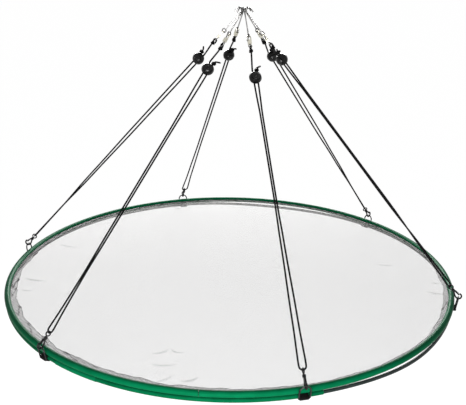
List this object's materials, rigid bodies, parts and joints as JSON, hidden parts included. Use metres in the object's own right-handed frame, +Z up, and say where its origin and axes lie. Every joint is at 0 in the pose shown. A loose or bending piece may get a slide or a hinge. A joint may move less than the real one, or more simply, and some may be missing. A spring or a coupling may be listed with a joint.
{
  "type": "hanging seed catcher",
  "caption": "Round net tray on two stacked wire hoops, hung from adjustable cord strands with sprung clasps, ball cord locks and wire hooks.",
  "frame": {"origin": "the hanging point, where the wire hooks gather", "axes": "+Z up; the hoops lie level, their centre 455 mm below the origin and 17 mm to -X; the first strand's tab bears 15 degrees from +X towards -Y, and the rest follow at about 60 degrees"},
  "size_m": [0.7619, 0.7619, 0.4747],
  "materials": {
    "rim_cover": "satin green",
    "lower_rod": "dark grey-green paint",
    "hidden_rod": "plain",
    "net": "fine pale mesh",
    "net_hem": "grey ruffled mesh",
    "webbing": "black woven webbing",
    "d_ring": "black gloss",
    "hook_wire": "bright wire",
    "upper_clasp": "nickel plated",
    "spring_steel": "plain",
    "cord": "glossy black braid",
    "lock_shell": "black gloss",
    "lock_button": "black gloss",
    "lower_clasp": "black gloss"
  },
  "bodies": {
    "tray_and_strands": {"rim_rod": "hidden_rod", "rim_cover_long": "rim_cover", "rim_cover_short": "rim_cover", "lower_rod": "lower_rod", "lower_sleeves": "rim_cover", "lower_joint_sleeve": "rim_cover", "net": "net", "net_hem": "net_hem", "webbing_tabs": "webbing", "d_rings": "d_ring", "wire_hooks": "hook_wire", "upper_clasp_bodies": "upper_clasp", "upper_gate_springs": "spring_steel", "upper_swivel_eyes": "upper_clasp", "lower_swivel_eyes": "lower_clasp", "cord_knots": "cord", "cord_1": "cord", "cord_2": "cord", "cord_3": "cord", "cord_4": "cord", "cord_5": "cord", "cord_6": "cord"},
    "cord_lock_1": {"lock_shell_1": "lock_shell", "lock_spring_1": "spring_steel"},
    "lock_button_1": {"lock_button_1": "lock_button"},
    "upper_gate_1": {"upper_gate_1": "upper_clasp"},
    "lower_clasp_1": {"lower_clasp_1": "lower_clasp"},
    "lower_gate_1": {"lower_gate_1": "lower_clasp"},
    "cord_lock_2": {"lock_shell_2": "lock_shell", "lock_spring_2": "spring_steel"},
    "lock_button_2": {"lock_button_2": "lock_button"},
    "upper_gate_2": {"upper_gate_2": "upper_clasp"},
    "lower_clasp_2": {"lower_clasp_2": "lower_clasp"},
    "lower_gate_2": {"lower_gate_2": "lower_clasp"},
    "cord_lock_3": {"lock_shell_3": "lock_shell", "lock_spring_3": "spring_steel"},
    "lock_button_3": {"lock_button_3": "lock_button"},
    "upper_gate_3": {"upper_gate_3": "upper_clasp"},
    "lower_clasp_3": {"lower_clasp_3": "lower_clasp"},
    "lower_gate_3": {"lower_gate_3": "lower_clasp"},
    "cord_lock_4": {"lock_shell_4": "lock_shell", "lock_spring_4": "spring_steel"},
    "lock_button_4": {"lock_button_4": "lock_button"},
    "upper_gate_4": {"upper_gate_4": "upper_clasp"},
    "lower_clasp_4": {"lower_clasp_4": "lower_clasp"},
    "lower_gate_4": {"lower_gate_4": "lower_clasp"},
    "cord_lock_5": {"lock_shell_5": "lock_shell", "lock_spring_5": "spring_steel"},
    "lock_button_5": {"lock_button_5": "lock_button"},
    "upper_gate_5": {"upper_gate_5": "upper_clasp"},
    "lower_clasp_5": {"lower_clasp_5": "lower_clasp"},
    "lower_gate_5": {"lower_gate_5": "lower_clasp"},
    "cord_lock_6": {"lock_shell_6": "lock_shell", "lock_spring_6": "spring_steel"},
    "lock_button_6": {"lock_button_6": "lock_button"},
    "upper_gate_6": {"upper_gate_6": "upper_clasp"},
    "lower_clasp_6": {"lower_clasp_6": "lower_clasp"},
    "lower_gate_6": {"lower_gate_6": "lower_clasp"}
  },
  "joints": [
    {"name": "lock_slide_1", "type": "slide", "parent": "tray_and_strands", "child": "cord_lock_1", "axis": [0.6158, -0.1729, -0.7687], "range_m": [0, 0.2]},
    {"name": "button_press_1", "type": "slide", "parent": "cord_lock_1", "child": "lock_button_1", "axis": [0.6459, 0.6695, 0.3669], "range_m": [0, 0.0024], "stiffness_N_per_m": 600, "springref_m": -0.005, "deforming": ["lock_spring_1"]},
    {"name": "upper_gate_open_1", "type": "hinge", "parent": "tray_and_strands", "child": "upper_gate_1", "pos_m": [0.03495, -0.01158, -0.0442], "axis": [-0.7401, 0.2078, -0.6396], "range_deg": [0, 25], "stiffness_Nm_per_rad": 0.01, "springref_deg": -28.65},
    {"name": "lower_swivel_1", "type": "hinge", "parent": "tray_and_strands", "child": "lower_clasp_1", "pos_m": [0.34301, -0.09629, -0.42819], "axis": [0.6158, -0.1729, -0.7687], "range_deg": [-25, 25]},
    {"name": "lower_gate_open_1", "type": "hinge", "parent": "lower_clasp_1", "child": "lower_gate_1", "pos_m": [0.35096, -0.09853, -0.43484], "axis": [0.2703, 0.9628, 0], "range_deg": [0, 28], "stiffness_Nm_per_rad": 0.02, "springref_deg": -28.65},
    {"name": "lock_slide_2", "type": "slide", "parent": "tray_and_strands", "child": "cord_lock_2", "axis": [0.453, 0.4576, -0.7651], "range_m": [0, 0.2]},
    {"name": "button_press_2", "type": "slide", "parent": "cord_lock_2", "child": "lock_button_2", "axis": [-0.1984, 0.8884, 0.4139], "range_m": [0, 0.0024], "stiffness_N_per_m": 600, "springref_m": -0.005, "deforming": ["lock_spring_2"]},
    {"name": "upper_gate_open_2", "type": "hinge", "parent": "tray_and_strands", "child": "upper_gate_2", "pos_m": [0.02725, 0.02512, -0.04399], "axis": [-0.5383, -0.5438, -0.6439], "range_deg": [0, 25], "stiffness_Nm_per_rad": 0.01, "springref_deg": -28.65},
    {"name": "lower_swivel_2", "type": "hinge", "parent": "tray_and_strands", "child": "lower_clasp_2", "pos_m": [0.25355, 0.25615, -0.42827], "axis": [0.453, 0.4576, -0.7651], "range_deg": [-25, 25]},
    {"name": "lower_gate_open_2", "type": "hinge", "parent": "lower_clasp_2", "child": "lower_gate_2", "pos_m": [0.2594, 0.26205, -0.43487], "axis": [-0.7107, 0.7035, 0], "range_deg": [0, 28], "stiffness_Nm_per_rad": 0.02, "springref_deg": -28.65},
    {"name": "lock_slide_3", "type": "slide", "parent": "tray_and_strands", "child": "cord_lock_3", "axis": [-0.203, 0.6286, -0.7508], "range_m": [0, 0.2]},
    {"name": "button_press_3", "type": "slide", "parent": "cord_lock_3", "child": "lock_button_3", "axis": [-0.4692, 0.6105, 0.6381], "range_m": [0, 0.0024], "stiffness_N_per_m": 600, "springref_m": -0.005, "deforming": ["lock_spring_3"]},
    {"name": "upper_gate_open_3", "type": "hinge", "parent": "tray_and_strands", "child": "upper_gate_3", "pos_m": [-0.01006, 0.03667, -0.04317], "axis": [0.2307, -0.7144, -0.6606], "range_deg": [0, 25], "stiffness_Nm_per_rad": 0.01, "springref_deg": -28.65},
    {"name": "lower_swivel_3", "type": "hinge", "parent": "tray_and_strands", "child": "lower_clasp_3", "pos_m": [-0.1159, 0.35884, -0.42857], "axis": [-0.203, 0.6286, -0.7508], "range_deg": [-25, 25]},
    {"name": "lower_gate_open_3", "type": "hinge", "parent": "lower_clasp_3", "child": "lower_gate_3", "pos_m": [-0.1185, 0.36688, -0.435], "axis": [-0.9516, -0.3073, 0], "range_deg": [0, 28], "stiffness_Nm_per_rad": 0.02, "springref_deg": -28.65},
    {"name": "lock_slide_4", "type": "slide", "parent": "tray_and_strands", "child": "cord_lock_4", "axis": [-0.6503, 0.1667, -0.7411], "range_m": [0, 0.2]},
    {"name": "button_press_4", "type": "slide", "parent": "cord_lock_4", "child": "lock_button_4", "axis": [0.3691, 0.922, -0.1166], "range_m": [0, 0.0024], "stiffness_N_per_m": 600, "springref_m": -0.005, "deforming": ["lock_spring_4"]},
    {"name": "upper_gate_open_4", "type": "hinge", "parent": "tray_and_strands", "child": "upper_gate_4", "pos_m": [-0.03697, 0.01123, -0.04261], "axis": [0.7179, -0.184, -0.6714], "range_deg": [0, 25], "stiffness_Nm_per_rad": 0.01, "springref_deg": -28.65},
    {"name": "lower_swivel_4", "type": "hinge", "parent": "tray_and_strands", "child": "lower_clasp_4", "pos_m": [-0.37626, 0.09643, -0.42878], "axis": [-0.6503, 0.1667, -0.7411], "range_deg": [-25, 25]},
    {"name": "lower_gate_open_4", "type": "hinge", "parent": "lower_clasp_4", "child": "lower_gate_4", "pos_m": [-0.38453, 0.09855, -0.43508], "axis": [-0.2483, -0.9687, 0], "range_deg": [0, 28], "stiffness_Nm_per_rad": 0.02, "springref_deg": -28.65},
    {"name": "lock_slide_5", "type": "slide", "parent": "tray_and_strands", "child": "cord_lock_5", "axis": [-0.482, -0.4615, -0.7447], "range_m": [0, 0.2]},
    {"name": "button_press_5", "type": "slide", "parent": "cord_lock_5", "child": "lock_button_5", "axis": [-0.1087, 0.8749, -0.4719], "range_m": [0, 0.0024], "stiffness_N_per_m": 600, "springref_m": -0.005, "deforming": ["lock_spring_5"]},
    {"name": "upper_gate_open_5", "type": "hinge", "parent": "tray_and_strands", "child": "upper_gate_5", "pos_m": [-0.02889, -0.02531, -0.04282], "axis": [0.5379, 0.5151, -0.6674], "range_deg": [0, 25], "stiffness_Nm_per_rad": 0.01, "springref_deg": -28.65},
    {"name": "lower_swivel_5", "type": "hinge", "parent": "tray_and_strands", "child": "lower_clasp_5", "pos_m": [-0.27748, -0.26569, -0.4287], "axis": [-0.482, -0.4615, -0.7447], "range_deg": [-25, 25]},
    {"name": "lower_gate_open_5", "type": "hinge", "parent": "lower_clasp_5", "child": "lower_gate_5", "pos_m": [-0.28362, -0.27157, -0.43505], "axis": [0.6916, -0.7223, 0], "range_deg": [0, 28], "stiffness_Nm_per_rad": 0.02, "springref_deg": -28.65},
    {"name": "lock_slide_6", "type": "slide", "parent": "tray_and_strands", "child": "cord_lock_6", "axis": [0.1471, -0.635, -0.7584], "range_m": [0, 0.2]},
    {"name": "button_press_6", "type": "slide", "parent": "cord_lock_6", "child": "lock_button_6", "axis": [-0.1712, 0.7388, -0.6518], "range_m": [0, 0.0024], "stiffness_N_per_m": 600, "springref_m": -0.005, "deforming": ["lock_spring_6"]},
    {"name": "upper_gate_open_6", "type": "hinge", "parent": "tray_and_strands", "child": "upper_gate_6", "pos_m": [0.0068, -0.0369, -0.04361], "axis": [-0.1712, 0.7388, -0.6518], "range_deg": [0, 25], "stiffness_Nm_per_rad": 0.01, "springref_deg": -28.65},
    {"name": "lower_swivel_6", "type": "hinge", "parent": "tray_and_strands", "child": "lower_clasp_6", "pos_m": [0.0831, -0.35871, -0.42841], "axis": [0.1471, -0.635, -0.7584], "range_deg": [-25, 25]},
    {"name": "lower_gate_open_6", "type": "hinge", "parent": "lower_clasp_6", "child": "lower_gate_6", "pos_m": [0.08499, -0.36686, -0.43493], "axis": [0.9742, 0.2257, 0], "range_deg": [0, 28], "stiffness_Nm_per_rad": 0.02, "springref_deg": -28.65}
  ]
}
